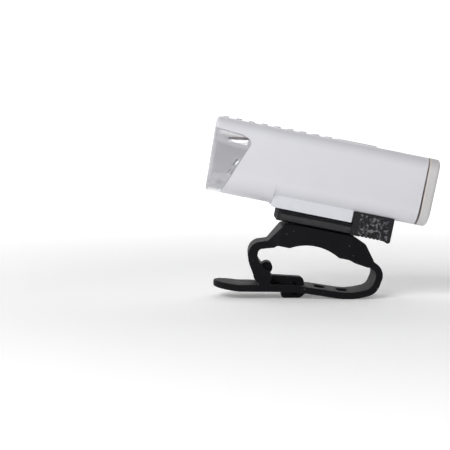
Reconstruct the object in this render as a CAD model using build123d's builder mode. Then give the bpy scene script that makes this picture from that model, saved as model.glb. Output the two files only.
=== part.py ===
"""Rechargeable bicycle headlight, standing on the silicone strap that holds it to a handlebar.

Millimetres. +X runs rearward, +Y away from the side shown, +Z up, and Z = 0 is the ground.
The light leans nose up, so its own pieces are drawn in a tilted frame: x along the light from
its front glass, z square to its top face, both from the top front edge.
"""
import os
from math import atan2, cos, degrees, radians, sin

from build123d import *

os.makedirs("parts", exist_ok=True)

# Where the light stands and how far its nose is raised
nose_tilt = 11.3
nose_x = -35.0
nose_z = 62.3

# Body of the light
light_length = 75.8
light_width = 30.0
light_height = 22.9
body_wall = 1.8
top_radius = 4.0
belly_radius = 6.0
chin_drop = 2.4
chin_end = 23.5

# Front glass: its outline seen from the side
glass_wall = 1.0
glass_top = 3.9
glass_shoulder_x = 9.3
glass_shoulder = 4.6
glass_corner_x = 13.3
glass_corner = 6.2
glass_corner_radius = 1.9
glass_foot_x = 5.85
glass_lean = 0.66
glass_gap = 0.05
visor_radius = 1.2
glass_edge_radius = 0.9
glass_inner_corner = 1.0

# Grip ribs and power key on the top face
rib_count = 9
rib_pitch = 4.4
rib_first_x = 2.9
rib_width = 2.0
rib_height = 0.4
key_centre_x = 48.0
key_length = 14.6
key_width = 14.0
key_corner = 3.0
key_edge_radius = 0.35
key_rise = 0.5
key_travel = 0.5
key_gap = 0.15
key_flange = 1.2
key_flange_thickness = 0.8

# Rear cover, the seam in front of it, and the plate that it hides
cover_thickness = 3.7
cover_edge_radius = 1.2
seam_top = 0.4
seam_bottom = 0.8
end_plate_thickness = 2.0
end_plate_gap = 0.1
plug_width = 10.4
plug_height = 5.0
plug_depth = 1.2
plug_gap = 0.3
plug_corner = 0.8
plug_recess = 1.2
finger_notch_width = 9.0
finger_notch_height = 1.2
finger_notch_depth = 0.9

# Screws of the end plate
end_screw_radius = 0.8
end_screw_head_radius = 1.75
end_screw_head = 1.2
end_screw_length = 5.5
end_cross = 2.3
end_cross_width = 0.4
end_cross_depth = 0.6
end_screw_rise = 4.9
boss_radius = 2.6
boss_length = 4.0
screw_gap = 0.05

# Lamp: heat sink, lamp board, emitters and the two collimator cups
sink_x = 14.2
sink_thickness = 2.4
lamp_board_thickness = 1.2
lamp_board_side = 1.7
lamp_board_height = 12.0
lamp_board_corner = 1.5
fin_count = 6
fin_pitch = 3.2
fin_thickness = 1.0
fin_height = 11.0
fin_depth = 1.4
emitter_size = 3.5
emitter_height = 0.8
emitter_dome_radius = 1.3
emitter_dome_taper = 30
cup_z = -13.7
cup_front_radius = 5.3
cup_back_radius = 4.0
cup_bore_radius = 2.8
cup_web = 6.0
cup_wall = 0.8
cup_front_x = 1.75
seal_width = 1.0
seal_thickness = 0.8
throat_corner = 1.0
seal_belly_radius = 2.0

# Circuit board, cell and charging socket
board_x = 19.0
board_end_gap = 0.3
board_side = 0.8
board_top = -6.9
board_thickness = 1.0
ledge_reach = 1.3
inductor_size = 5.4
inductor_height = 2.4
inductor_corner = 0.8
chip_length = 5.0
chip_width = 4.0
chip_height = 1.1
capacitor_length = 3.0
capacitor_width = 1.6
inductor_spot = (7.0, 4.0)
chip_spots = [(15.0, -3.0), (37.0, 5.0)]
capacitor_spots = [(8.0, -6.0), (15.0, 6.0), (38.0, -6.0)]
cell_x = 20.0
cell_end_gap = 0.6
cell_side = 1.9
cell_height = 10.6
cell_corner = 2.0
foam_thickness = 1.4
foam_inset = 2.0
foam_side = 2.8
switch_size = 6.0
switch_height = 1.9
plunger_radius = 1.5
plunger_gap = 0.08
plunger_rise = 0.9
plunger_depth = 0.9
plunger_room = 0.2
stem_wall = 0.5
lead_y = 3.0
lead_radius = 0.5
lead_gap = 0.1
lead_hole_gap = 0.2
lead_bend = 2.2
lead_lap = 3.0
socket_width = 7.6
socket_height = 2.6
socket_length = 5.4
socket_wall = 0.3
socket_back = 1.0
socket_tongue = 0.6
socket_corner = 0.5
socket_gap = 0.15

# Rail under the belly and the slider of the bracket that runs in it
rail_length = 27.4
rail_half = 12.0
rail_z = -26.3
rail_roof = 0.6
rail_lip = 1.2
rail_inner_half = 10.0
slot_half = 6.4
slide_gap = 0.2

# Bracket plate and its release tab
plate_start = 26.2
plate_end = 51.2
plate_gap = 0.2
plate_thickness = 3.9
plate_half = 12.2
plate_edge_radius = 1.4
tab_web_gap = 0.25
tab_length = 13.55
tab_cheek = 1.6
tab_gap = 0.3
tab_half = 12.0
tab_nub_radius = 0.9
tab_nub_rise = 0.4
panel_start = 54.2
panel_end = 63.2
panel_height = 6.2
panel_raise = 0.3
panel_corner = 0.6
panel_depth = 0.2
catch_x = 54.8
catch_width = 1.6
catch_half = 4.0
catch_clear = 0.05
catch_notch = 0.4
notch_gap = 0.4
serration_count = 6
serration_pitch = 1.3
serration_depth = 0.35

# Pivot between bracket and saddle
pivot_x = 40.8
pivot_radius = 1.5
pivot_gap = 0.06
pivot_head_radius = 3.2
pivot_head = 1.6
pivot_cross = 4.4
pivot_cross_width = 0.7
pivot_cross_depth = 1.0
washer_thickness = 0.5
insert_radius = 7.5
insert_thickness = 3.3
insert_clear = 0.1
nut_flats = 5.5
nut_height = 2.2

# Silicone saddle and strap
saddle_start = 28.7
saddle_end = 52.9
saddle_gap = 0.3
saddle_height = 8.2
saddle_width = 24.0
saddle_front_drop = 1.4
saddle_front_run = 3.4
arch_start = 32.5
arch_end = 49.4
arch_rise = 2.3
strap_width = 16.0
strap_thickness = 2.3
arm_thickness = 2.6
strap_root = 3.1
root_lap = 1.0
hole_first_x = -15.0
hole_pitch = 7.8
hole_count = 4
hole_length = 3.6
hole_width = 6.0
hole_corner = 1.2
hook_width = 5.0
knob_width = 10.0
ball_radius = 2.0
ball_width = 8.0
loop_shift = -0.4

# Side view of the strap as it lies, in X and Z: middle line of the long band and of the short
# arm with the radii of their bends, the middle of the saddle's rear haunch, then outlines of the
# hook, its bar and the knob's foot
band_route = [
    (16.8, 12.5),
    (21.3, 9.5),
    (18.6, 2.6),
    (10.7, 0.65),
    (-7.7, 3.5),
    (-27.7, 3.7),
    (-36.3, 4.9),
]
band_bends = [3.6, 4.4, 22.0, 60.0, 12.0]
haunch_spot = (13.7, 15.7)
haunch_way = (0.878, 0, -0.478)
haunch_height = 7.4
haunch_width = 20.0
arm_root = (-17.4, 18.8)
arm_route = [(-15.6, 18.9), (-23.2, 18.1), (-22.9, 13.0), (-21.1, 8.4)]
arm_bends = [3.2, 6.0]
hook_outline = [
    (-24.2, 14.2),
    (-23.2, 11.6),
    (-22.3, 7.1),
    (-20.9, 5.4),
    (-17.0, 5.2),
    (-16.0, 7.3),
    (-16.7, 8.9),
    (-18.6, 10.3),
    (-20.5, 12.8),
    (-21.1, 14.6),
    (-20.9, 16.2),
    (-19.8, 17.6),
    (-22.6, 17.8),
]
ball_spot = (-17.8, 10.4)
bar_outline = [
    (-18.0, 5.4),
    (-7.7, 5.0),
    (-7.7, 0.5),
    (-4.9, 0.5),
    (-4.9, 6.0),
    (-6.1, 7.0),
    (-18.0, 7.7),
]
knob_outline = [(-12.7, 1.9), (-13.0, 0.7), (-12.2, 0), (-6.4, 0), (-4.6, 1.4)]

# How far a cut runs past a face, or a raised piece sinks into one
overcut = 0.3

# Places that follow from the sizes above
half_width = light_width / 2
inner_half = half_width - body_wall
belly_z = -light_height
chin_z = belly_z - chin_drop
chin_radius = belly_radius + chin_drop
cover_x = light_length - cover_thickness
barrel_end = cover_x - seam_top
end_plate_x = barrel_end - end_plate_gap - end_plate_thickness
end_screw_y = inner_half - boss_radius
screw_spots = [(end_screw_y, belly_z + end_screw_rise), (-end_screw_y, belly_z + end_screw_rise)]
rib_length = light_width - 2 * top_radius
lamp_board_width = 2 * (inner_half - lamp_board_side)
cup_spacing = lamp_board_width - 2 * cup_front_radius
board_length = end_plate_x - board_end_gap - board_x
board_width = 2 * (inner_half - board_side)
cell_length = end_plate_x - boss_length - cell_end_gap - cell_x
cell_width = 2 * (inner_half - cell_side)
foam_length = cell_length - 2 * foam_inset
foam_width = cell_width - 2 * foam_side
plate_top = rail_z - plate_gap
plate_bottom = plate_top - plate_thickness
tab_start = plate_end + tab_web_gap
tab_end = tab_start + tab_length
saddle_top = plate_bottom - saddle_gap
saddle_bottom = saddle_top - saddle_height
sink_front = sink_x + seal_thickness
emitter_base = sink_front - lamp_board_thickness
cell_bottom = belly_z + body_wall + foam_thickness
lead_z = board_top - board_thickness - lead_radius - lead_gap
ledge_z = board_top - board_thickness - ledge_reach / 2

# Frames of the tilted light
lean = radians(nose_tilt)
along = Vector(cos(lean), 0, -sin(lean))
upward = Vector(sin(lean), 0, cos(lean))
nose = Vector(nose_x, 0, nose_z)
side = Plane(origin=nose, x_dir=along, z_dir=(0, -1, 0))
deck = Plane(origin=nose, x_dir=along, z_dir=upward)
light_axis = Axis(nose, along)
up_axis = Axis(nose, upward)
ground_side = Plane(origin=(loop_shift, 0, 0), x_dir=(1, 0, 0), z_dir=(0, -1, 0))


def station(x):
    """Plane across the light at distance x from its front; sketch x is +Y and sketch y is z."""
    return Plane(origin=nose + along * x, x_dir=(0, 1, 0), z_dir=along)


def rounded_section(half, top, bottom, upper_radius, lower_radius):
    """Rectangle from top to bottom with its upper and lower corners rounded."""
    with Locations((0, (top + bottom) / 2)):
        Rectangle(2 * half, top - bottom)
    fillet(vertices().group_by(Axis.Y)[-1], radius=upper_radius)
    fillet(vertices().group_by(Axis.Y)[0], radius=lower_radius)


def body_section(inset, bottom):
    """Outline of the light's body, drawn in by inset. A deeper bottom is rounded more."""
    rounded_section(
        half_width - inset,
        -inset,
        bottom + inset,
        top_radius - inset,
        belly_radius + belly_z - bottom - inset,
    )


def finish(builder, name):
    """Label a finished piece and write it."""
    builder.part.label = name
    export_step(builder.part, f"parts/{name}.step")


# The side outline of the glass runs back under the visor, turns and falls to the chin.
corner_to_foot = (glass_corner_x - glass_foot_x) / (-glass_corner - chin_z)
glass_outline = [
    (glass_shoulder_x, -glass_shoulder),
    (glass_corner_x, -glass_corner),
    (glass_foot_x, chin_z),
]

# Housing: one barrel with a visor over the glass, a deeper chin and an open rear end.
key_hole_length = key_length + 2 * key_gap
key_hole_width = key_width + 2 * key_gap
with BuildPart() as housing:
    with BuildSketch(station(0)):
        body_section(0, belly_z)
    extrude(amount=barrel_end)
    with BuildSketch(station(0)):
        body_section(0, chin_z)
    extrude(amount=chin_end)
    fillet(faces().sort_by(light_axis)[0].edges(), radius=visor_radius)
    with BuildSketch(station(sink_x)):
        body_section(body_wall, belly_z)
    extrude(amount=barrel_end - sink_x, mode=Mode.SUBTRACT)
    throat_top = -glass_corner - seal_width
    throat_bottom = chin_z + body_wall
    with BuildSketch(station(0)):
        rounded_section(
            inner_half - seal_width,
            throat_top,
            throat_bottom,
            throat_corner,
            chin_radius - body_wall,
        )
    extrude(amount=sink_x, mode=Mode.SUBTRACT)
    with BuildSketch(side):
        with BuildLine():
            Polyline(
                (-1, chin_z - 1),
                (-1, -glass_top),
                (0, -glass_top),
                *glass_outline,
                (glass_foot_x - corner_to_foot, chin_z - 1),
                close=True,
            )
        make_face()
        fillet(vertices().sort_by(Axis.X)[-1], radius=glass_corner_radius)
    extrude(amount=half_width + 1, both=True, mode=Mode.SUBTRACT)
    with BuildSketch(station(board_x)):
        with Locations((inner_half, ledge_z), (-inner_half, ledge_z)):
            Rectangle(2 * ledge_reach, ledge_reach)
    extrude(amount=board_length)
    with BuildSketch(station(end_plate_x - boss_length)):
        with Locations(*screw_spots):
            Circle(boss_radius)
            Circle(end_screw_radius + screw_gap, mode=Mode.SUBTRACT)
    extrude(amount=boss_length)
    with BuildSketch(deck):
        with Locations((key_centre_x, 0)):
            RectangleRounded(key_hole_length, key_hole_width, key_corner + key_gap)
    extrude(amount=-body_wall - overcut, mode=Mode.SUBTRACT)
    with BuildSketch(deck.offset(-overcut)):
        rib_middle = rib_first_x + rib_pitch * (rib_count - 1) / 2
        with Locations((rib_middle, 0)):
            with GridLocations(rib_pitch, 0, rib_count, 1):
                SlotOverall(rib_length, rib_width, rotation=90)
    extrude(amount=rib_height + overcut)
    with BuildSketch(deck.offset(belly_z)):
        with Locations((catch_x, 0)):
            Rectangle(catch_width + 2 * notch_gap, 2 * catch_half + 2 * notch_gap)
    extrude(amount=catch_notch, mode=Mode.SUBTRACT)
finish(housing, "housing")

# Front glass: a clear cap that wraps round the front and both sides under the visor.
with BuildPart() as glass_hollow:
    with BuildSketch(station(glass_wall + glass_lean)):
        rounded_section(
            half_width - glass_wall,
            -glass_shoulder - glass_wall,
            chin_z + glass_wall,
            glass_inner_corner,
            chin_radius - glass_wall,
        )
    extrude(amount=glass_corner_x)
with BuildPart() as front_glass:
    with BuildSketch(side):
        with BuildLine():
            Polyline((0, -glass_top), *glass_outline, (glass_lean, chin_z), close=True)
        make_face()
        fillet(vertices().sort_by(Axis.X)[-1], radius=glass_corner_radius)
        fillet(vertices().sort_by(Axis.X)[1], radius=glass_edge_radius)
        offset(amount=-glass_gap)
    extrude(amount=half_width, both=True)
    with BuildSketch(station(0)):
        body_section(0, chin_z)
    extrude(amount=glass_corner_x + 1, mode=Mode.INTERSECT)
    add(glass_hollow.part, mode=Mode.SUBTRACT)
finish(front_glass, "front_glass")

# Seal between the barrel's step and the heat sink
with BuildPart() as lamp_seal:
    with BuildSketch(station(sink_x)):
        body_section(body_wall, belly_z)
    extrude(amount=seal_thickness)
    with BuildSketch(station(sink_x)):
        rounded_section(
            inner_half - seal_width,
            throat_top,
            belly_z + body_wall + seal_width,
            throat_corner,
            seal_belly_radius,
        )
    extrude(amount=seal_thickness, mode=Mode.SUBTRACT)
finish(lamp_seal, "lamp_seal")

# Heat sink: an aluminium plate across the barrel with fins behind it
with BuildPart() as heat_sink:
    with BuildSketch(station(sink_front)):
        body_section(body_wall + end_plate_gap, belly_z)
        with Locations((lead_y, lead_z), (-lead_y, lead_z)):
            Circle(lead_radius + lead_hole_gap, mode=Mode.SUBTRACT)
    extrude(amount=sink_thickness)
    with BuildSketch(station(sink_front + sink_thickness)):
        with Locations((0, cup_z - 1)):
            with GridLocations(fin_pitch, 0, fin_count, 1):
                Rectangle(fin_thickness, fin_height)
    extrude(amount=fin_depth)
finish(heat_sink, "heat_sink")

# Lamp board in front of the heat sink, and its two emitters
with BuildPart() as lamp_board:
    with BuildSketch(station(sink_front - lamp_board_thickness)):
        with Locations((0, cup_z)):
            RectangleRounded(lamp_board_width, lamp_board_height, lamp_board_corner)
    extrude(amount=lamp_board_thickness)
finish(lamp_board, "lamp_board")

with BuildPart() as emitters:
    with BuildSketch(station(emitter_base)):
        with Locations((0, cup_z)):
            with GridLocations(cup_spacing, 0, 2, 1):
                Rectangle(emitter_size, emitter_size)
    extrude(amount=-emitter_height)
    with BuildSketch(station(emitter_base - emitter_height)):
        with Locations((0, cup_z)):
            with GridLocations(cup_spacing, 0, 2, 1):
                Circle(emitter_dome_radius)
    extrude(amount=-emitter_dome_radius / 2, taper=emitter_dome_taper)
finish(emitters, "emitters")

# Collimator: two tapered cups side by side, joined by a web, seated on the lamp board
cup_length = emitter_base - cup_front_x
cup_taper = degrees(atan2(cup_front_radius - cup_back_radius, cup_length))
bore_taper = degrees(atan2(cup_front_radius - cup_wall - cup_bore_radius, cup_length))
with BuildPart() as collimator:
    with BuildSketch(station(cup_front_x)):
        with Locations((0, cup_z)):
            with GridLocations(cup_spacing, 0, 2, 1):
                Circle(cup_front_radius)
    extrude(amount=cup_length, taper=cup_taper)
    with BuildSketch(station(cup_front_x + cup_wall)):
        with Locations((0, cup_z)):
            Rectangle(cup_spacing - cup_front_radius, cup_web)
    extrude(amount=cup_length / 2)
    with BuildSketch(station(cup_front_x)):
        with Locations((0, cup_z)):
            with GridLocations(cup_spacing, 0, 2, 1):
                Circle(cup_front_radius - cup_wall)
    extrude(amount=cup_length, taper=bore_taper, mode=Mode.SUBTRACT)
finish(collimator, "collimator")

# Circuit board on its two ledges, with its parts on top, placed from its front edge
board_face = Plane(
    origin=nose + along * board_x + upward * board_top, x_dir=along, z_dir=upward
)
with BuildPart() as main_board:
    with BuildSketch(deck.offset(board_top)):
        with Locations((board_x + board_length / 2, 0)):
            Rectangle(board_length, board_width)
    extrude(amount=-board_thickness)
    with BuildSketch(board_face):
        with Locations(inductor_spot):
            RectangleRounded(inductor_size, inductor_size, inductor_corner)
    extrude(amount=inductor_height)
    with BuildSketch(board_face):
        with Locations(*chip_spots):
            Rectangle(chip_length, chip_width)
        with Locations(*capacitor_spots):
            Rectangle(capacitor_length, capacitor_width)
    extrude(amount=chip_height)
finish(main_board, "main_board")

# Lithium cell on a foam pad
with BuildPart() as cell_pad:
    with BuildSketch(deck.offset(belly_z + body_wall)):
        with Locations((cell_x + cell_length / 2, 0)):
            Rectangle(foam_length, foam_width)
    extrude(amount=foam_thickness)
finish(cell_pad, "cell_pad")

with BuildPart() as cell:
    with BuildSketch(station(cell_x)):
        rounded_section(
            cell_width / 2, cell_bottom + cell_height, cell_bottom, cell_corner, cell_corner
        )
    extrude(amount=cell_length)
finish(cell, "cell")

# Two straight leads from the lamp board, two bent ones from the cell
with BuildPart() as lamp_leads:
    with BuildSketch(station(sink_front)):
        with Locations((lead_y, lead_z), (-lead_y, lead_z)):
            Circle(lead_radius)
    extrude(amount=board_x + lead_lap - sink_front)
finish(lamp_leads, "lamp_leads")

with BuildPart() as cell_leads:
    for lead_side in (-1, 1):
        lead_plane = side.offset(lead_side * lead_y)
        with BuildLine(lead_plane):
            FilletPolyline(
                (cell_x + cell_length, cell_bottom + cell_height / 2),
                (cell_x + cell_length + lead_bend, cell_bottom + cell_height / 2),
                (cell_x + cell_length + lead_bend, board_top - board_thickness),
                radius=lead_bend * 0.8,
            )
        with BuildSketch(
            Plane(
                origin=lead_plane.from_local_coords(
                    (cell_x + cell_length, cell_bottom + cell_height / 2, 0)
                ),
                x_dir=(0, 1, 0),
                z_dir=along,
            )
        ):
            Circle(lead_radius)
        sweep()
finish(cell_leads, "cell_leads")

# Switch under the key
with BuildPart() as switch_body:
    with BuildSketch(deck.offset(board_top)):
        with Locations((key_centre_x, 0)):
            Rectangle(switch_size, switch_size)
    extrude(amount=switch_height)
    with BuildSketch(deck.offset(board_top + switch_height)):
        with Locations((key_centre_x, 0)):
            Circle(plunger_radius + plunger_gap)
    extrude(amount=-plunger_depth - key_travel - plunger_room, mode=Mode.SUBTRACT)
finish(switch_body, "switch_body")

plunger_top = board_top + switch_height + plunger_rise
with BuildPart() as switch_plunger:
    with BuildSketch(deck.offset(plunger_top)):
        with Locations((key_centre_x, 0)):
            Circle(plunger_radius)
    extrude(amount=-plunger_rise - plunger_depth)
finish(switch_plunger, "switch_plunger")

# Power key: a pad through the top face, a flange that keeps it in and a stem to the switch
flange_top = -body_wall - glass_gap
with BuildPart() as power_key:
    with BuildSketch(deck.offset(flange_top)):
        with Locations((key_centre_x, 0)):
            RectangleRounded(key_length, key_width, key_corner)
    extrude(amount=key_rise - flange_top)
    fillet(faces().sort_by(up_axis)[-1].edges(), radius=key_edge_radius)
    with BuildSketch(deck.offset(flange_top)):
        with Locations((key_centre_x, 0)):
            RectangleRounded(
                key_length + 2 * key_flange, key_width + 2 * key_flange, key_corner + key_flange
            )
    extrude(amount=-key_flange_thickness)
    with BuildSketch(deck.offset(plunger_top)):
        with Locations((key_centre_x, 0)):
            Circle(plunger_radius + stem_wall)
    extrude(amount=flange_top - plunger_top)
finish(power_key, "power_key")

# Charging socket on the rear of the board, its mouth in the end plate
socket_z = board_top + socket_height / 2
socket_end = barrel_end - end_plate_gap - plug_recess
with BuildPart() as charging_socket:
    with BuildSketch(station(socket_end)):
        with Locations((0, socket_z)):
            RectangleRounded(socket_width, socket_height, socket_corner)
    extrude(amount=-socket_length)
    with BuildSketch(station(socket_end)):
        with Locations((0, socket_z)):
            Rectangle(socket_width - 2 * socket_wall, socket_height - 2 * socket_wall)
            Rectangle(socket_width / 2, socket_tongue, mode=Mode.SUBTRACT)
    extrude(amount=-socket_length + socket_back, mode=Mode.SUBTRACT)
finish(charging_socket, "charging_socket")

# End plate that closes the barrel, and its two screws
with BuildPart() as end_plate:
    with BuildSketch(station(end_plate_x)):
        body_section(body_wall + end_plate_gap, belly_z)
        with Locations((0, socket_z)):
            Rectangle(
                socket_width + 2 * socket_gap, socket_height + 2 * socket_gap, mode=Mode.SUBTRACT
            )
        with Locations(*screw_spots):
            Circle(end_screw_radius + screw_gap, mode=Mode.SUBTRACT)
    extrude(amount=end_plate_thickness)
    with BuildSketch(station(barrel_end - end_plate_gap)):
        with Locations((0, socket_z)):
            Rectangle(plug_width + 2 * plug_gap, plug_height + 2 * plug_gap)
    extrude(amount=-plug_recess, mode=Mode.SUBTRACT)
    with BuildSketch(station(barrel_end - end_plate_gap)):
        with Locations(*screw_spots):
            Circle(end_screw_head_radius + screw_gap)
    extrude(amount=-end_screw_head, mode=Mode.SUBTRACT)
finish(end_plate, "end_plate")

with BuildPart() as end_screws:
    with BuildSketch(station(barrel_end - end_plate_gap)):
        with Locations(*screw_spots):
            Circle(end_screw_head_radius)
    extrude(amount=-end_screw_head)
    with BuildSketch(station(barrel_end - end_plate_gap)):
        with Locations(*screw_spots):
            Circle(end_screw_radius)
    extrude(amount=-end_screw_length)
    with BuildSketch(station(barrel_end - end_plate_gap)):
        with Locations(*screw_spots):
            Rectangle(end_cross, end_cross_width)
            Rectangle(end_cross_width, end_cross)
    extrude(amount=-end_cross_depth, mode=Mode.SUBTRACT)
finish(end_screws, "end_screws")

# Rear cover: a flap that bends at its top edge, with a plug that shuts the socket
with BuildPart() as rear_cover:
    with BuildSketch(station(barrel_end)):
        body_section(0, belly_z)
    extrude(amount=light_length - barrel_end)
    fillet(faces().sort_by(light_axis)[-1].edges(), radius=cover_edge_radius)
    with BuildSketch(side):
        with BuildLine():
            Polyline(
                (barrel_end - 1, 1),
                (cover_x, 1),
                (cover_x, 0),
                (barrel_end + seam_bottom, belly_z),
                (barrel_end + seam_bottom, belly_z - 1),
                (barrel_end - 1, belly_z - 1),
                close=True,
            )
        make_face()
    extrude(amount=half_width + 1, both=True, mode=Mode.SUBTRACT)
    with BuildSketch(station(light_length - cover_edge_radius)):
        with Locations((0, socket_z)):
            RectangleRounded(plug_width, plug_height, plug_corner)
    extrude(amount=-light_length + cover_edge_radius + cover_x - plug_depth)
    with BuildSketch(station(barrel_end)):
        with Locations((0, belly_z)):
            Rectangle(finger_notch_width, 2 * finger_notch_height)
    extrude(amount=seam_bottom + finger_notch_depth, mode=Mode.SUBTRACT)
finish(rear_cover, "rear_cover")

# Rail under the belly, behind the chin: a channel with inward lips, open at its rear
rail_end = chin_end + rail_length
rail_inner_top = belly_z - rail_roof
rail_inner_bottom = rail_z + rail_lip
with BuildPart() as mount_rail:
    with BuildSketch(station(chin_end)):
        with Locations((0, rail_z)):
            Rectangle(2 * rail_half, belly_radius, align=(Align.CENTER, Align.MIN))
        with Locations((0, rail_inner_bottom)):
            Rectangle(
                2 * rail_inner_half,
                rail_inner_top - rail_inner_bottom,
                align=(Align.CENTER, Align.MIN),
                mode=Mode.SUBTRACT,
            )
        with Locations((0, rail_z)):
            Rectangle(
                2 * slot_half,
                rail_lip + 0.1,
                align=(Align.CENTER, Align.MIN),
                mode=Mode.SUBTRACT,
            )
    extrude(amount=rail_length)
    with BuildSketch(station(chin_end)):
        body_section(0, belly_z)
    extrude(amount=rail_length, mode=Mode.SUBTRACT)
finish(mount_rail, "mount_rail")

# Bracket plate with the slider that fills the rail, bored for the pivot screw
slider_top = rail_inner_top - slide_gap
slider_bottom = rail_inner_bottom + slide_gap
bore_floor = plate_top - washer_thickness
plate_length = plate_end - plate_start
with BuildPart() as bracket_plate:
    with BuildSketch(station(plate_start)):
        rounded_section(plate_half, plate_top, plate_bottom, plate_edge_radius, plate_edge_radius)
    extrude(amount=plate_length)
    with BuildSketch(station(plate_start)):
        with Locations((0, (slider_top + slider_bottom) / 2)):
            Rectangle(2 * (rail_inner_half - slide_gap), slider_top - slider_bottom)
        with Locations((0, plate_top - 0.1)):
            Rectangle(
                2 * (slot_half - slide_gap),
                slider_bottom - plate_top + 0.2,
                align=(Align.CENTER, Align.MIN),
            )
    extrude(amount=rail_end - plate_start - slide_gap)
    with BuildSketch(deck.offset(slider_top)):
        with Locations((pivot_x, 0)):
            Circle(pivot_head_radius + slide_gap)
    extrude(amount=bore_floor - slider_top, mode=Mode.SUBTRACT)
    with BuildSketch(deck.offset(slider_top)):
        with Locations((pivot_x, 0)):
            Circle(pivot_radius + pivot_gap)
    extrude(amount=plate_bottom - slider_top, mode=Mode.SUBTRACT)
finish(bracket_plate, "bracket_plate")

# Release tab: a block behind the plate, bent down by the thumb, with a catch under the belly
cheek_top = belly_z + tab_cheek
catch_top = belly_z - catch_clear
panel_z = (plate_bottom + belly_z) / 2 + panel_raise
first_groove = tab_end - 4 * tab_nub_radius - serration_pitch * (serration_count - 1) / 2
with BuildPart() as release_tab:
    with BuildSketch(side):
        with BuildLine():
            Polyline(
                (tab_start, plate_bottom),
                (tab_start, cheek_top),
                (tab_end, cheek_top),
                (tab_end, plate_bottom),
                close=True,
            )
        make_face()
        with Locations((tab_end - tab_nub_radius, plate_bottom + tab_nub_rise)):
            Circle(tab_nub_radius)
    extrude(amount=tab_half, both=True)
    with BuildSketch(station(tab_start)):
        body_section(-tab_gap, belly_z)
    extrude(amount=tab_end - tab_start, mode=Mode.SUBTRACT)
    with BuildSketch(side):
        with Locations((first_groove, plate_bottom)):
            with GridLocations(serration_pitch, 0, serration_count, 1):
                Rectangle(serration_pitch / 2, 2 * serration_depth)
    extrude(amount=tab_half, both=True, mode=Mode.SUBTRACT)
    with BuildSketch(deck.offset(belly_z - tab_gap - overcut)):
        with Locations((catch_x, 0)):
            Rectangle(catch_width, 2 * catch_half)
    extrude(amount=catch_top - belly_z + tab_gap + overcut)
    for face_y in (-tab_half, tab_half):
        with BuildSketch(Plane(origin=nose + Vector(0, face_y, 0), x_dir=along, z_dir=(0, -1, 0))):
            with Locations(((panel_start + panel_end) / 2, panel_z)):
                RectangleRounded(panel_end - panel_start, panel_height, panel_corner)
        extrude(amount=panel_depth, both=True, mode=Mode.SUBTRACT)
finish(release_tab, "release_tab")

# Pivot screw, its washer, and the insert and nut moulded into the saddle
head_bottom = bore_floor + washer_thickness + 2 * insert_clear
insert_top = plate_bottom - insert_clear
insert_bottom = insert_top - insert_thickness
with BuildPart() as pivot_screw:
    with BuildSketch(deck.offset(head_bottom)):
        with Locations((pivot_x, 0)):
            Circle(pivot_head_radius)
    extrude(amount=pivot_head)
    with BuildSketch(deck.offset(head_bottom)):
        with Locations((pivot_x, 0)):
            Circle(pivot_radius)
    extrude(amount=insert_bottom - head_bottom)
    with BuildSketch(deck.offset(head_bottom + pivot_head)):
        with Locations((pivot_x, 0)):
            Rectangle(pivot_cross, pivot_cross_width)
            Rectangle(pivot_cross_width, pivot_cross)
    extrude(amount=-pivot_cross_depth, mode=Mode.SUBTRACT)
finish(pivot_screw, "pivot_screw")

with BuildPart() as pivot_washer:
    with BuildSketch(deck.offset(bore_floor + insert_clear)):
        with Locations((pivot_x, 0)):
            Circle(pivot_head_radius)
            Circle(pivot_radius + pivot_gap, mode=Mode.SUBTRACT)
    extrude(amount=washer_thickness)
finish(pivot_washer, "pivot_washer")

with BuildPart() as pivot_insert:
    with BuildSketch(deck.offset(insert_top)):
        with Locations((pivot_x, 0)):
            Circle(insert_radius)
            Circle(pivot_radius + pivot_gap, mode=Mode.SUBTRACT)
    extrude(amount=-insert_thickness)
    with BuildSketch(deck.offset(insert_bottom)):
        with Locations((pivot_x, 0)):
            RegularPolygon(nut_flats / 2 + pivot_gap, 6, major_radius=False)
    extrude(amount=nut_height, mode=Mode.SUBTRACT)
finish(pivot_insert, "pivot_insert")

with BuildPart() as pivot_nut:
    with BuildSketch(deck.offset(insert_bottom)):
        with Locations((pivot_x, 0)):
            RegularPolygon(nut_flats / 2, 6, major_radius=False)
            Circle(pivot_radius + pivot_gap / 2, mode=Mode.SUBTRACT)
    extrude(amount=nut_height)
finish(pivot_nut, "pivot_nut")

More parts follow.
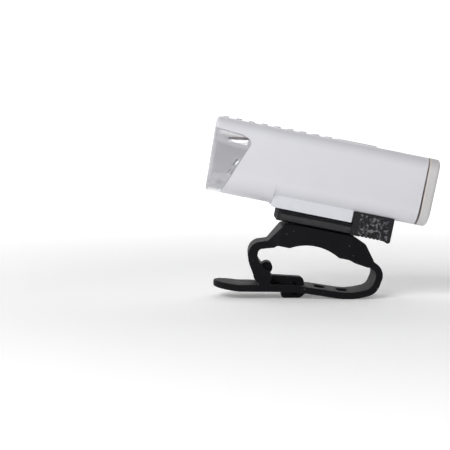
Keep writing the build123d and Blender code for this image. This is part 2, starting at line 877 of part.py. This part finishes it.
# Strap: saddle, short arm with the hook, and the long band with its holes, all one moulding.
# The band first, cut round at its tip and pierced.
root_way = Vector(
    band_route[1][0] - band_route[0][0], 0, band_route[1][1] - band_route[0][1]
).normalized()
root_spot = Vector(band_route[0][0] + loop_shift, 0, band_route[0][1]) + root_way * root_lap
arm_way = Vector(
    arm_route[1][0] - arm_route[0][0], 0, arm_route[1][1] - arm_route[0][1]
).normalized()
arm_spot = Vector(arm_root[0] + loop_shift, 0, arm_root[1])
haunch_origin = Vector(haunch_spot[0] + loop_shift, 0, haunch_spot[1])
with BuildPart() as strap:
    with BuildSketch(ground_side):
        with BuildLine():
            FilletPolyline(*band_route, radius=band_bends)
            offset(amount=strap_thickness / 2, side=Side.BOTH)
        make_face()
    extrude(amount=strap_width / 2, both=True)
    tip_x = band_route[-1][0] + loop_shift
    with BuildSketch(Plane.XY):
        with Locations((tip_x + strap_width / 2, 0)):
            Circle(strap_width / 2)
            Rectangle(light_length, strap_width, align=(Align.MIN, Align.CENTER))
    extrude(amount=light_height, both=True, mode=Mode.INTERSECT)
    with BuildSketch(Plane.XY):
        hole_middle = hole_first_x + hole_pitch * (hole_count - 1) / 2 + loop_shift
        with Locations((hole_middle, 0)):
            with GridLocations(hole_pitch, 0, hole_count, 1):
                RectangleRounded(hole_length, hole_width, hole_corner)
    extrude(amount=strap_width / 2, mode=Mode.SUBTRACT)
    # Saddle, with an arch that sits on the bar
    with BuildSketch(side):
        with BuildLine():
            Polyline(
                (arch_start, saddle_bottom),
                (saddle_start, saddle_bottom),
                (saddle_start, saddle_top - saddle_front_drop),
                (saddle_start + saddle_front_run, saddle_top),
                (saddle_end, saddle_top),
                (saddle_end, saddle_bottom),
                (arch_end, saddle_bottom),
            )
            ThreePointArc(
                (arch_end, saddle_bottom),
                ((arch_start + arch_end) / 2, saddle_bottom + arch_rise),
                (arch_start, saddle_bottom),
            )
        make_face()
    extrude(amount=saddle_width / 2, both=True)
    # Faceted ends that draw in to the band and to the short arm
    saddle_middle = (saddle_top + saddle_bottom) / 2
    with BuildSketch(station(saddle_end)):
        with Locations((0, saddle_middle)):
            Rectangle(saddle_width, saddle_top - saddle_bottom)
    with BuildSketch(Plane(origin=haunch_origin, x_dir=(0, 1, 0), z_dir=haunch_way)):
        Rectangle(haunch_width, haunch_height)
    with BuildSketch(Plane(origin=root_spot, x_dir=(0, 1, 0), z_dir=root_way)):
        Rectangle(strap_width, strap_root)
    loft(ruled=True)
    with BuildSketch(station(saddle_start)):
        with Locations((0, saddle_bottom)):
            Rectangle(
                saddle_width,
                saddle_top - saddle_front_drop - saddle_bottom,
                align=(Align.CENTER, Align.MIN),
            )
    with BuildSketch(Plane(origin=arm_spot, x_dir=(0, 1, 0), z_dir=-arm_way)):
        Rectangle(strap_width, arm_thickness)
    loft(ruled=True)
    # Short arm
    with BuildSketch(ground_side):
        with BuildLine():
            FilletPolyline(*arm_route, radius=arm_bends)
            offset(amount=arm_thickness / 2, side=Side.BOTH)
        make_face()
    extrude(amount=strap_width / 2, both=True)
    # Hook end
    with BuildSketch(ground_side):
        with BuildLine():
            Polyline(*hook_outline, close=True)
        make_face()
    extrude(amount=strap_width / 2, both=True)
    with BuildSketch(ground_side):
        with Locations(ball_spot):
            Circle(ball_radius)
    extrude(amount=ball_width / 2, both=True)
    with BuildSketch(ground_side):
        with BuildLine():
            Polyline(*bar_outline, close=True)
        make_face()
    extrude(amount=hook_width / 2, both=True)
    with BuildSketch(ground_side):
        with BuildLine():
            Polyline(*knob_outline, close=True)
        make_face()
    extrude(amount=knob_width / 2, both=True)
    # Room for the insert
    with BuildSketch(deck.offset(saddle_top)):
        with Locations((pivot_x, 0)):
            Circle(insert_radius)
    extrude(amount=insert_bottom - saddle_top, mode=Mode.SUBTRACT)
    # Level foot
    with BuildSketch(Plane.XY):
        Rectangle(2 * light_length, 2 * strap_width)
    extrude(amount=-strap_thickness, mode=Mode.SUBTRACT)
finish(strap, "strap")
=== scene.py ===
"""Bicycle headlight on its handlebar strap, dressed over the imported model. Metres throughout."""
import math

import bmesh
import bpy
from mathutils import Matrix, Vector


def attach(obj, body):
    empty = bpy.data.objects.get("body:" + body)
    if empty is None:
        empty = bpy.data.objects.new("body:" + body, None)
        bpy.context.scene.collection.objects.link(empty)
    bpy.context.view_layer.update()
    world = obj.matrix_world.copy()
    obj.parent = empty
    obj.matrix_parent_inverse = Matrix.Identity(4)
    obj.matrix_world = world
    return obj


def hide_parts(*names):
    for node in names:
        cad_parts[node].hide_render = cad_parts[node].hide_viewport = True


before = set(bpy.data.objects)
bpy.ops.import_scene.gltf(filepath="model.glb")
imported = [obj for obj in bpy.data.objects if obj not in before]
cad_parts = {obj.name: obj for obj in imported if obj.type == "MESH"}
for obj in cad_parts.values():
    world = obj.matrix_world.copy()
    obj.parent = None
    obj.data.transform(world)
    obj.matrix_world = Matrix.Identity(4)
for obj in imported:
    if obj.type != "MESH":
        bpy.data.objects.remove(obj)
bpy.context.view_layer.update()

# Housing
# One injection-moulded shell of white ABS with a satin face. The mould leaves a very fine grain,
# and the plastic varies slightly from place to place as it filled.

# The light's own directions and the top edge of its front, which its finishes are laid out from
lean = math.radians(11.3)
rearward = Vector((math.cos(lean), 0, -math.sin(lean)))
upward = Vector((math.sin(lean), 0, math.cos(lean)))
nose = Vector((-0.035, 0, 0.0623))


class Signal:
    """One output of a material's nodes. Sums on it add Math nodes."""

    def __init__(self, finish, output):
        self.finish = finish
        self.output = output

    def math(self, operation, *values):
        """Add a Math node that works on all these values, each a number or a Signal."""
        return self.finish.node(
            "ShaderNodeMath", {"operation": operation}, dict(enumerate(values))
        )

    def __add__(self, other):
        return self.math("ADD", self, other)

    def __sub__(self, other):
        return self.math("SUBTRACT", self, other)

    def __mul__(self, other):
        return self.math("MULTIPLY", self, other)

    def __rsub__(self, other):
        return self.math("SUBTRACT", other, self)

    def __gt__(self, limit):
        return self.math("GREATER_THAN", self, limit)

    def __lt__(self, limit):
        return self.math("LESS_THAN", self, limit)

    __radd__ = __add__
    __rmul__ = __mul__

    def __abs__(self):
        return self.math("ABSOLUTE", self)

    def within(self, low, high):
        """1 between low and high, else 0."""
        return (self > low) * (self < high)

    def ripple(self, pitch):
        """Sine wave from -1 to 1 that repeats every pitch."""
        return self.math("SINE", self * (2 * math.pi / pitch))


class Finish:
    """A material built round one Principled shader."""

    def __init__(self, name, **constants):
        self.material = bpy.data.materials.new(name)
        self.material.use_nodes = True
        self.tree = self.material.node_tree
        self.shader = self.tree.nodes["Principled BSDF"]
        for socket, value in constants.items():
            self.shader.inputs[socket.replace("_", " ")].default_value = value
        self.place = self.node("ShaderNodeTexCoord", output="Object")

    def node(self, kind, settings=None, inputs=None, output=0):
        """Add a node. Inputs are values or other nodes' outputs."""
        made = self.tree.nodes.new(kind)
        for name, value in (settings or {}).items():
            setattr(made, name, value)
        for socket, value in (inputs or {}).items():
            if isinstance(value, Signal):
                self.tree.links.new(value.output, made.inputs[socket])
            else:
                made.inputs[socket].default_value = value
        return Signal(self, made.outputs[output])

    def noise(self, size, detail=2.0):
        """Noise from 0 to 1 with spots about this many metres across."""
        return self.node(
            "ShaderNodeTexNoise", None, {"Vector": self.place, "Scale": 1 / size, "Detail": detail}
        )

    def specks(self, size):
        """Distance from the middles of scattered spots, in spot sizes."""
        return self.node("ShaderNodeTexVoronoi", None, {"Vector": self.place, "Scale": 1 / size})

    def ramp(self, value, low, high):
        """0 below low, 1 above high."""
        return self.node(
            "ShaderNodeMapRange", None, {"Value": value, "From Min": low, "From Max": high}
        )

    def mix(self, factor, plain, other):
        """Plain at factor 0, other at 1. Each is a colour or another mix."""
        ends = [(*end, 1.0) if isinstance(end, tuple) else end for end in (plain, other)]
        # The node's colours are its inputs 6 and 7 and its output 2
        return self.node(
            "ShaderNodeMix",
            {"data_type": "RGBA"},
            {"Factor": factor, 6: ends[0], 7: ends[1]},
            output=2,
        )

    def along(self, way, start):
        """How far a point lies from start along way, in metres."""
        shifted = self.node(
            "ShaderNodeVectorMath", {"operation": "SUBTRACT"}, {0: self.place, 1: tuple(start)}
        )
        return self.node(
            "ShaderNodeVectorMath",
            {"operation": "DOT_PRODUCT"},
            {0: shifted, 1: tuple(way)},
            output="Value",
        )

    def depth(self):
        """How far a point lies behind the light's front edge."""
        return self.along(rearward, nose)

    def height(self):
        """How far a point lies above the light's top face."""
        return self.along(upward, nose)

    def aside(self):
        """How far a point lies from the light's middle plane."""
        return abs(self.along((0, 1, 0), (0, 0, 0)))

    def drive(self, socket, value):
        """Let one of the shader's inputs follow a node's output."""
        self.tree.links.new(value.output, self.shader.inputs[socket])

    def tint(self, factor, plain, other):
        """Base colour from plain at factor 0 to other at 1."""
        self.drive("Base Color", self.mix(factor, plain, other))

    def relief(self, height, depth, strength=1.0):
        """Bump of this depth in metres."""
        bump = self.node(
            "ShaderNodeBump", None, {"Height": height, "Distance": depth, "Strength": strength}
        )
        self.drive("Normal", bump)

    def paint(self, *names):
        """Put the finish on CAD nodes."""
        for name in names:
            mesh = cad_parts[name].data
            mesh.materials.clear()
            mesh.materials.append(self.material)


shell = Finish("white_shell", Coat_Weight=0.12, Coat_Roughness=0.25)
shell_cloud = shell.noise(0.009, 3.0)
shell_grain = shell.noise(0.00035, 1.0)
shell.tint(shell_cloud, (0.80, 0.80, 0.845), (0.765, 0.765, 0.81))
shell.drive("Roughness", 0.30 + 0.12 * shell_grain)
shell.relief(shell_grain + 0.4 * shell.noise(0.0016), 0.000012)
shell.paint("housing")

# Mount rail
# A separate moulding of the same white ABS, bonded under the belly. Its narrow lips hold the
# slider, and it is rubbed a little glossier in patches.
rail = Finish("rail_white", Coat_Weight=0.15, Coat_Roughness=0.2)
rail_rub = rail.ramp(rail.noise(0.004, 3.0), 0.35, 0.7)
rail.tint(rail_rub, (0.79, 0.80, 0.85), (0.755, 0.765, 0.81))
rail.drive("Roughness", 0.38 - 0.12 * rail_rub)
rail.relief(rail.noise(0.0004, 1.0), 0.000012)
rail.paint("mount_rail")

# Front glass
# One clear polycarbonate cap. The middle of its front is clear and the rest is frosted inside,
# apart from a polished band under the visor and two along the sloping rear edge.
glass = Finish("clear_cap", IOR=1.49, Coat_Weight=0.7, Coat_Roughness=0.04)
glass_flow = glass.noise(0.0025)
glass_depth = glass.depth()
glass_height = glass.height()

glass_front = 1 - glass.ramp(glass_depth, 0.0012, 0.0017)
window_half_width = 0.0124
window_foot = -0.0215
glass_window = (
    glass_front * (glass.aside() < window_half_width) * (glass_height > window_foot)
)

# The band under the visor climbs a little towards the rear
top_band_foot = -0.0078
top_band_top = -0.0071
top_band_climb = 0.15
glass_top_band = (
    (glass_height > top_band_foot)
    * (glass_height - top_band_climb * glass_depth < top_band_top)
    * glass_depth.within(0.0052, 0.0120)
)

# The sloping rear edge starts at this corner, and its bands lie this far inside it
glass_corner = nose + rearward * 0.0133 - upward * 0.0062
glass_slope = glass.along(upward * 0.37 - rearward * 0.929, glass_corner)
glass_rear_band = glass_slope.within(0.0004, 0.0015) * (
    glass_height.within(-0.0151, -0.0129) + glass_height.within(-0.0186, -0.0167)
)

glass_frost = (1 - glass_window) * (1 - glass_top_band) * (1 - glass_rear_band)
glass_side = glass.mix(glass_flow, (0.68, 0.68, 0.715), (0.59, 0.59, 0.62))
# Painted shade: the front is painted a darker grey, for the dark line its edge shows from the
# side.
glass.tint(glass_front, glass_side, (0.49, 0.49, 0.53))
glass.drive("Alpha", 0.12 + 0.06 * glass_flow + (0.34 + 0.22 * glass_front) * glass_frost)
glass.drive("Roughness", 0.05 + 0.07 * glass_flow)
glass.relief(glass.noise(0.0012, 1.0), 0.00003, 0.5)
glass.paint("front_glass")

# Lamp: seal, heat sink, board and emitters
# A die-cast aluminium plate carries a white-masked board with two yellow phosphor emitters. A
# black silicone ring seals it to the barrel.
seal = Finish("seal_black", Roughness=0.6)
seal_dust = seal.ramp(seal.noise(0.0008), 0.5, 0.8)
seal.tint(seal_dust, (0.02, 0.02, 0.021), (0.06, 0.06, 0.06))
seal.paint("lamp_seal")

cast = Finish("cast_aluminium", Metallic=1.0)
cast_grain = cast.noise(0.0003)
cast.tint(cast_grain, (0.66, 0.66, 0.68), (0.52, 0.52, 0.54))
cast.drive("Roughness", 0.36 + 0.2 * cast_grain)
cast.relief(cast_grain, 0.00004)
cast.paint("heat_sink")

mask = Finish("white_mask", Coat_Weight=0.3, Coat_Roughness=0.1)
mask_track = mask.ramp(mask.aside(), 0.0085, 0.0087)
mask.tint(mask_track, (0.80, 0.80, 0.76), (0.70, 0.72, 0.66))
mask.drive("Roughness", 0.3 + 0.15 * mask.noise(0.0006))
mask.paint("lamp_board")

phosphor = Finish("phosphor", Subsurface_Weight=0.2)
phosphor_grain = phosphor.noise(0.0002, 1.0)
phosphor.tint(phosphor_grain, (0.86, 0.72, 0.16), (0.80, 0.62, 0.1))
phosphor.drive("Roughness", 0.35 + 0.2 * phosphor_grain)
phosphor.paint("emitters")

# Collimator
# Two tapered cups of clear acrylic in one moulding. Fine turned rings from its mould catch the
# light along the cups' sides.
optic = Finish("clear_optic", Transmission_Weight=0.15, IOR=1.49)
optic_ring = optic.depth().ripple(0.0008)
optic_streak = optic.noise(0.0012, 3.0)
optic.tint(optic_streak, (0.88, 0.88, 0.90), (0.74, 0.74, 0.76))
optic.drive("Roughness", 0.16 + 0.1 * optic.noise(0.0005))
optic.relief(optic_ring + 0.6 * optic_streak, 0.00012)
optic.paint("collimator")

# Side reflectors
# Thin metallised blades lie flat inside the glass, under the visor and along the sloping rear
# edge. Their finish reflects as if they leaned forwards. A dark red-brown strip over each upper
# blade is painted shade for the shadowed gap under the visor.


def spot(x, y, z):
    """A point x behind the light's front edge, y across and z above its top face."""
    return nose + rearward * x + upward * z + Vector((0, y, 0))


def slab(name, outline, inner, outer, edge, finish):
    """A plate of this side outline on each side of the light, its edges rounded."""
    plates = bmesh.new()
    for hand in (-1, 1):
        faces = []
        for across in (inner, outer):
            faces.append([plates.verts.new(spot(x, hand * across, z)) for x, z in outline])
        plates.faces.new(faces[0])
        plates.faces.new(reversed(faces[1]))
        for here in range(len(outline)):
            after = (here + 1) % len(outline)
            plates.faces.new(
                (faces[1][here], faces[1][after], faces[0][after], faces[0][here])
            )
    bmesh.ops.recalc_face_normals(plates, faces=plates.faces)
    bmesh.ops.bevel(plates, geom=plates.edges, offset=edge, segments=2, affect="EDGES")
    mesh = bpy.data.meshes.new(name)
    plates.to_mesh(mesh)
    mesh.materials.append(finish.material)
    piece = bpy.data.objects.new(name, mesh)
    bpy.context.scene.collection.objects.link(piece)
    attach(piece, "light")


mirror = Finish("blade_mirror", Metallic=1.0)
mirror_cloud = mirror.noise(0.0016, 3.0)
mirror_slope = 450
mirror_tilt = mirror_slope * mirror.along((0.59, 0, -0.81), nose)
mirror.tint(mirror_cloud, (0.88, 0.89, 0.92), (0.74, 0.76, 0.80))
mirror.drive("Roughness", 0.36 + 0.12 * mirror_cloud)
mirror.relief(mirror_tilt + 0.22 * mirror_cloud, 0.001)

blade_outside = 0.0137
blade_edge = 0.0001
upper_blade = [
    (0.0052, -0.0072), (0.0080, -0.0069), (0.0105, -0.0066), (0.0120, -0.0063),
    (0.0112, -0.0071), (0.0098, -0.0077), (0.0076, -0.0078),
]
slab("upper_blades", upper_blade, 0.0128, blade_outside, blade_edge, mirror)
long_blade = [
    (0.0100, -0.0128), (0.0102, -0.0132), (0.0094, -0.0150), (0.0087, -0.0152),
    (0.0090, -0.0142),
]
slab("rear_blades", long_blade, 0.0130, blade_outside, blade_edge, mirror)
short_blade = [(0.0082, -0.0166), (0.0084, -0.0170), (0.0074, -0.0187), (0.0070, -0.0184)]
slab("lower_blades", short_blade, 0.0130, blade_outside, blade_edge, mirror)

# Painted shade: the strip's dark red-brown stands for the shadowed gap under the visor.
gap_shade = Finish("painted_gap_shade")
gap_shade_cloud = gap_shade.noise(0.0009, 3.0)
gap_shade.tint(gap_shade_cloud, (0.16, 0.10, 0.09), (0.30, 0.20, 0.18))
gap_shade.drive("Roughness", 0.45 + 0.2 * gap_shade_cloud)
strip = [
    (0.0036, -0.0066), (0.0070, -0.0058), (0.0105, -0.0053), (0.0121, -0.0053),
    (0.0121, -0.0057), (0.0105, -0.0060), (0.0075, -0.0065), (0.0046, -0.0068),
]
slab("visor_gap_shade", strip, 0.0128, blade_outside, 0.00008, gap_shade)

# Pegs of the front glass
# Two pegs of the same clear plastic near the chin locate the glass on the housing. Each is a
# short round stub that lies across the light.
peg_finish = Finish("clear_peg", IOR=1.49, Coat_Weight=0.5, Coat_Roughness=0.05)
peg_cloud = peg_finish.noise(0.0018, 3.0)
peg_finish.tint(peg_cloud, (0.80, 0.81, 0.83), (0.70, 0.71, 0.73))
peg_finish.drive("Roughness", 0.08 + 0.1 * peg_cloud)
peg_depth = 0.0046
peg_height = -0.0226
peg_radius = 0.0010
peg = [
    (peg_depth + peg_radius * math.cos(turn), peg_height + peg_radius * math.sin(turn))
    for turn in (math.radians(22.5 * step) for step in range(16))
]
slab("glass_pegs", peg, 0.0104, 0.0118, 0.0002, peg_finish)

# Circuit board, switch, socket and leads
# A green glass-fibre board with chips and capacitors, a black push switch and a plated charging
# socket. The leads have red silicone insulation.
board = Finish("green_board", Coat_Weight=0.4, Coat_Roughness=0.12)
# 1 on what stands above the board's top face, 6.9 mm below the light's
board_part = board.ramp(board.height(), -0.00688, -0.00684)
board_track = board.ramp(board.noise(0.0022, 0.0), 0.5, 0.52)
board_face = board.mix(board_track, (0.02, 0.16, 0.05), (0.035, 0.24, 0.08))
board.tint(board_part, board_face, (0.045, 0.045, 0.05))
board.drive("Roughness", 0.3 + 0.2 * board.noise(0.0007))
board.relief(board_track, 0.00003)
board.paint("main_board")

switch = Finish("switch_black")
switch_grain = switch.noise(0.0003)
switch.tint(switch_grain, (0.03, 0.03, 0.03), (0.05, 0.05, 0.05))
switch.drive("Roughness", 0.45 + 0.15 * switch_grain)
switch.paint("switch_body", "switch_plunger")

tin = Finish("tin_plate", Metallic=1.0)
tin_cloud = tin.noise(0.0009, 3.0)
tin.tint(tin_cloud, (0.66, 0.66, 0.66), (0.56, 0.56, 0.57))
tin.drive("Roughness", 0.22 + 0.2 * tin_cloud)
tin.paint("charging_socket")

insulation = Finish("red_insulation")
insulation_cloud = insulation.noise(0.0008)
insulation.tint(insulation_cloud, (0.50, 0.03, 0.02), (0.40, 0.02, 0.015))
insulation.drive("Roughness", 0.4 + 0.15 * insulation_cloud)
insulation.paint("lamp_leads", "cell_leads")

# Cell and its pad
# A pouch cell in crinkled grey foil, on a strip of black closed-cell foam. The foam fills the gap
# under the cell.
foil = Finish("cell_foil", Metallic=0.6)
foil_crease = foil.noise(0.003, 4.0)
foil.tint(foil_crease, (0.60, 0.61, 0.63), (0.48, 0.49, 0.51))
foil.drive("Roughness", 0.3 + 0.2 * foil_crease)
foil.relief(foil_crease, 0.0003)
foil.paint("cell")

foam = Finish("black_foam", Roughness=0.9)
foam_cell = foam.specks(0.0005)
foam.tint(foam_cell, (0.02, 0.02, 0.02), (0.07, 0.07, 0.07))
foam.relief(foam_cell, 0.0001)
foam.paint("cell_pad")

# End plate and its screws
# A grey ABS plate that closes the barrel under the rear cover, held by two zinc-plated screws.
# The bracket's screw, washer and nut have the same zinc plating.
plate = Finish("grey_plate")
plate_grain = plate.noise(0.0004, 1.0)
plate.tint(plate_grain, (0.62, 0.62, 0.63), (0.56, 0.56, 0.57))
plate.drive("Roughness", 0.42 + 0.15 * plate_grain)
plate.relief(plate_grain, 0.00002)
plate.paint("end_plate")

zinc = Finish("zinc_steel", Metallic=1.0)
zinc_grain = zinc.noise(0.0005, 3.0)
zinc.tint(zinc_grain, (0.58, 0.58, 0.60), (0.44, 0.44, 0.46))
zinc.drive("Roughness", 0.28 + 0.22 * zinc_grain)
zinc.relief(zinc_grain, 0.00002)
zinc.paint("end_screws", "pivot_screw", "pivot_washer", "pivot_nut")

# Power key
# The same white ABS as the housing, in a finer grain, worn slightly smoother in its middle where
# the thumb presses.
key = Finish("key_white", Coat_Weight=0.1, Coat_Roughness=0.3)
key_middle = 0.048
key_unworn = key.ramp(abs(key.depth() - key_middle), 0.002, 0.006)
key_grain = key.noise(0.00025, 1.0)
key.tint(key_grain, (0.80, 0.80, 0.835), (0.77, 0.77, 0.80))
key.drive("Roughness", 0.3 + 0.1 * key_unworn + 0.08 * key_grain)
key.relief(key_grain, 0.000015)
key.paint("power_key")

# Rear cover
# A flap of white silicone with a matt skin. It closes the rear end, and its plug shuts the
# charging socket. Its front edge looks warmer along the seam with the housing.
cover = Finish("cover_silicone", Subsurface_Weight=0.08, Subsurface_Radius=(0.002, 0.0015, 0.001))
cover_seam = 1 - cover.ramp(cover.depth(), 0.07205, 0.0728)
cover_cloud = cover.noise(0.004, 3.0)
cover_face = cover.mix(cover_cloud, (0.71, 0.70, 0.70), (0.66, 0.65, 0.65))
cover.tint(cover_seam, cover_face, (0.84, 0.73, 0.68))
cover.drive("Roughness", 0.5 + 0.15 * cover_cloud)
cover.relief(cover.noise(0.0003, 1.0), 0.00002)
cover.paint("rear_cover")

# Bracket plate
# Glossy black nylon that has been handled. Two faint flow ridges come and go along its sides,
# and its front end is dull.
bracket = Finish("bracket_black", Specular_IOR_Level=0.4, Coat_Roughness=0.08)
bracket_smear = bracket.noise(0.005, 4.0)
bracket_end = 1 - bracket.ramp(bracket.depth(), 0.0263, 0.0275)
bracket_ridge = bracket.height().ripple(0.0019) * bracket.ramp(bracket_smear, 0.40, 0.62)
bracket.tint(bracket_smear, (0.004, 0.004, 0.006), (0.009, 0.009, 0.012))
bracket.drive("Roughness", 0.2 + 0.1 * bracket_smear + 0.65 * bracket_end)
bracket.drive("Coat Weight", 0.3 - 0.3 * bracket_end)
bracket.relief(0.65 * bracket_ridge + 0.7 * bracket.noise(0.0009, 3.0), 0.00022)
bracket.paint("bracket_plate")

# Release tab
# The same black nylon. Both sides carry a sunk panel with a coarse texture, so that a thumb
# doesn't slip, between a plain front strip and a raised rear lip. The texture's high spots are
# painted grey as painted glints.
tab = Finish("tab_black", Specular_IOR_Level=0.3, Coat_Weight=0.1, Coat_Roughness=0.15)
panel_aside = 0.0116
tab_panel = (
    tab.depth().within(0.0536, 0.0638)
    * tab.height().within(-0.0299, -0.0229)
    * (tab.aside() > panel_aside)
)
tab_coarse = tab.noise(0.0010, 4.0)
# Painted glints: the panel's high spots are painted grey.
tab_painted_glints = tab.ramp(tab_coarse, 0.50, 0.66) * tab_panel
tab.tint(tab_painted_glints, (0.004, 0.004, 0.006), (0.22, 0.22, 0.24))
tab.drive("Roughness", 0.30 - 0.08 * tab_panel)
tab.relief(tab_coarse * tab_panel + 0.05 * tab.noise(0.0007), 0.0011)
tab.paint("release_tab")

# Strap
# One moulding of black silicone: saddle, short arm with its hook, and the long pierced band. The
# mould rounds every edge, and the matt skin holds pale dust.
silicone = Finish("black_silicone", Specular_IOR_Level=0.15, IOR=1.3)
strap_cloud = silicone.noise(0.006, 3.0)
strap_speck = 1 - silicone.ramp(silicone.specks(0.0016), 0.06, 0.14)
strap_dust = strap_speck * silicone.ramp(silicone.noise(0.007, 1.0), 0.5, 0.62)
strap_face = silicone.mix(strap_cloud, (0.007, 0.007, 0.0085), (0.013, 0.013, 0.0145))
silicone.tint(strap_dust, strap_face, (0.22, 0.22, 0.22))
silicone.drive("Roughness", 0.46 + 0.2 * strap_cloud)
silicone.relief(silicone.noise(0.0004), 0.00003)


def mould(name, node, grid, rounds):
    """A rubber piece in a CAD node's place, with every edge rounded as its mould leaves it.

    It is rebuilt on a grid of this many metres and smoothed for this many rounds.
    """
    piece = bpy.data.objects.new(name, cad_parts[node].data.copy())
    bpy.context.scene.collection.objects.link(piece)
    skin = piece.modifiers.new("skin", "REMESH")
    skin.mode = "VOXEL"
    skin.voxel_size = grid
    edges = piece.modifiers.new("edges", "SMOOTH")
    edges.factor = 0.5
    edges.iterations = rounds
    bpy.context.view_layer.update()
    shaped = piece.evaluated_get(bpy.context.evaluated_depsgraph_get())
    piece.data = bpy.data.meshes.new_from_object(shaped)
    piece.modifiers.clear()
    piece.data.shade_smooth()
    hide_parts(node)
    return piece


strap = mould("strap_moulding", "strap", grid=0.00032, rounds=6)
strap.data.materials.clear()
strap.data.materials.append(silicone.material)
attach(strap, "strap")

# Pivot insert
# A hard nylon disc moulded into the saddle. It holds the nut, and the screw that the bracket
# turns on is driven into that.
insert = Finish("insert_nylon")
insert_grain = insert.noise(0.0004)
insert.tint(insert_grain, (0.02, 0.02, 0.02), (0.04, 0.04, 0.04))
insert.drive("Roughness", 0.4 + 0.15 * insert_grain)
insert.paint("pivot_insert")

# Studio
# A white paper sweep whose own glow grows with the distance from the light, one large soft light
# high on the left of the camera and a weak one on its right.
paper = Finish("paper_white", Roughness=0.9, Emission_Strength=0.85)
paper_reach = paper.node(
    "ShaderNodeVectorMath", {"operation": "LENGTH"}, {0: paper.place}, output="Value"
)
paper_far = paper.ramp(paper_reach, 0.10, 0.60)
paper.drive("Emission Color", paper.mix(paper_far, (0.25, 0.25, 0.25), (1.0, 1.0, 1.0)))
paper.tint(paper.noise(0.3), (0.93, 0.93, 0.93), (0.92, 0.92, 0.92))

# The sweep's side outline, as distances back and up: its floor, its bend and its wall
sweep_half_width = 4.0
floor_front = -4.0
bend_start = 0.6
bend_radius = 0.5
wall_top = 1.8
outline = [(floor_front, 0.0), (bend_start, 0.0)]
for step in range(1, 7):
    turn = math.radians(15 * step)
    outline.append(
        (bend_start + bend_radius * math.sin(turn), bend_radius - bend_radius * math.cos(turn))
    )
outline.append((bend_start + bend_radius, wall_top))
sweep = bmesh.new()
rows = [
    [sweep.verts.new((x, y, z)) for x in (-sweep_half_width, sweep_half_width)]
    for y, z in outline
]
for near, far in zip(rows, rows[1:]):
    sweep.faces.new((near[0], near[1], far[1], far[0])).smooth = True
sweep_mesh = bpy.data.meshes.new("sweep")
sweep.to_mesh(sweep_mesh)
sweep_mesh.materials.append(paper.material)
floor = bpy.data.objects.new("sweep", sweep_mesh)
bpy.context.scene.collection.objects.link(floor)


def soft_light(name, place, aim, size, power):
    """A square area light of this size in metres and power in watts, turned towards aim."""
    lamp = bpy.data.lights.new(name, "AREA")
    lamp.size = size
    lamp.energy = power
    holder = bpy.data.objects.new(name, lamp)
    holder.location = place
    holder.rotation_euler = (Vector(aim) - Vector(place)).to_track_quat("-Z", "Y").to_euler()
    bpy.context.scene.collection.objects.link(holder)


part_middle = (0, 0, 0.03)
soft_light("key_soft", (-0.30, -0.45, 0.44), part_middle, size=0.34, power=2.3)
soft_light("fill_soft", (0.15, -0.65, 0.10), part_middle, size=0.4, power=0.1)
sky = bpy.data.worlds.new("studio")
sky.use_nodes = True
sky_shader = sky.node_tree.nodes["Background"]
sky_shader.inputs["Color"].default_value = (1.0, 1.0, 1.0, 1.0)
sky_shader.inputs["Strength"].default_value = 0.12
bpy.context.scene.world = sky
bpy.context.scene.view_settings.view_transform = "Standard"

# Camera
# In front of the light's near side and about level with it, as in the photo. It points slightly
# down, so that the strap is in the frame too.
eye = bpy.data.cameras.new("eye")
eye.lens = 80.9
eye.sensor_width = 36.0
eye.clip_start = 0.01
eye.dof.use_dof = False
eye_holder = bpy.data.objects.new("eye", eye)
eye_holder.location = (-0.0301, -0.350, 0.051)
eye_target = Vector((-0.0326, 0, 0.0248))
eye_aim = eye_target - eye_holder.location
eye_holder.rotation_euler = eye_aim.to_track_quat("-Z", "Y").to_euler()
bpy.context.scene.collection.objects.link(eye_holder)
bpy.context.scene.camera = eye_holder
